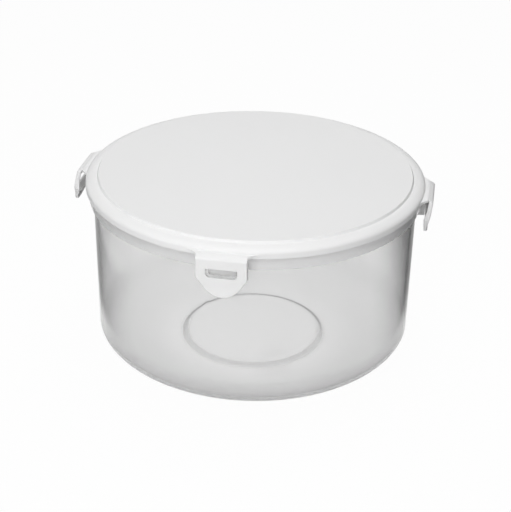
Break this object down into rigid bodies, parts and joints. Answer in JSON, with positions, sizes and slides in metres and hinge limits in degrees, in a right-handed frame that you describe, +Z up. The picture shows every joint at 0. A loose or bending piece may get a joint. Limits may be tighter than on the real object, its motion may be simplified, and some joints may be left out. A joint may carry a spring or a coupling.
{
  "type": "dough proofing container",
  "caption": "Round clear tub with a bowl-shaped bottom, and a sealed lift-off lid with hinged snap latches on its rim, for proofing dough.",
  "frame": {"origin": "centre of the flat foot's underside, on the table", "axes": "+Z up along the tub's axis, -Y towards the front latch, +X towards the right latch"},
  "size_m": [0.3028, 0.2948, 0.1567],
  "materials": {
    "clear_tub": "clear polycarbonate, glossy",
    "white_lid": "white polypropylene, satin",
    "white_latch": "white polypropylene, satin",
    "seal": "translucent silicone, soft"
  },
  "bodies": {
    "container": {"container": "clear_tub"},
    "lid": {"lid": "white_lid", "gasket": "seal"},
    "latch_front": {"latch_front": "white_latch"},
    "latch_right": {"latch_right": "white_latch"},
    "latch_back": {"latch_back": "white_latch"},
    "latch_left": {"latch_left": "white_latch"}
  },
  "joints": [
    {"name": "lid_lift", "type": "slide", "parent": "container", "child": "lid", "axis": [0, 0, 1], "range_m": [0, 0.06]},
    {"name": "latch_front_hinge", "type": "hinge", "parent": "lid", "child": "latch_front", "pos_m": [0, -0.14421, 0.14959], "axis": [-1, 0, 0], "range_deg": [0, 110]},
    {"name": "latch_right_hinge", "type": "hinge", "parent": "lid", "child": "latch_right", "pos_m": [0.14421, 0, 0.14959], "axis": [0, -1, 0], "range_deg": [0, 110]},
    {"name": "latch_back_hinge", "type": "hinge", "parent": "lid", "child": "latch_back", "pos_m": [0, 0.14421, 0.14959], "axis": [1, 0, 0], "range_deg": [0, 110]},
    {"name": "latch_left_hinge", "type": "hinge", "parent": "lid", "child": "latch_left", "pos_m": [-0.14421, 0, 0.14959], "axis": [0, 1, 0], "range_deg": [-19, 91]}
  ]
}
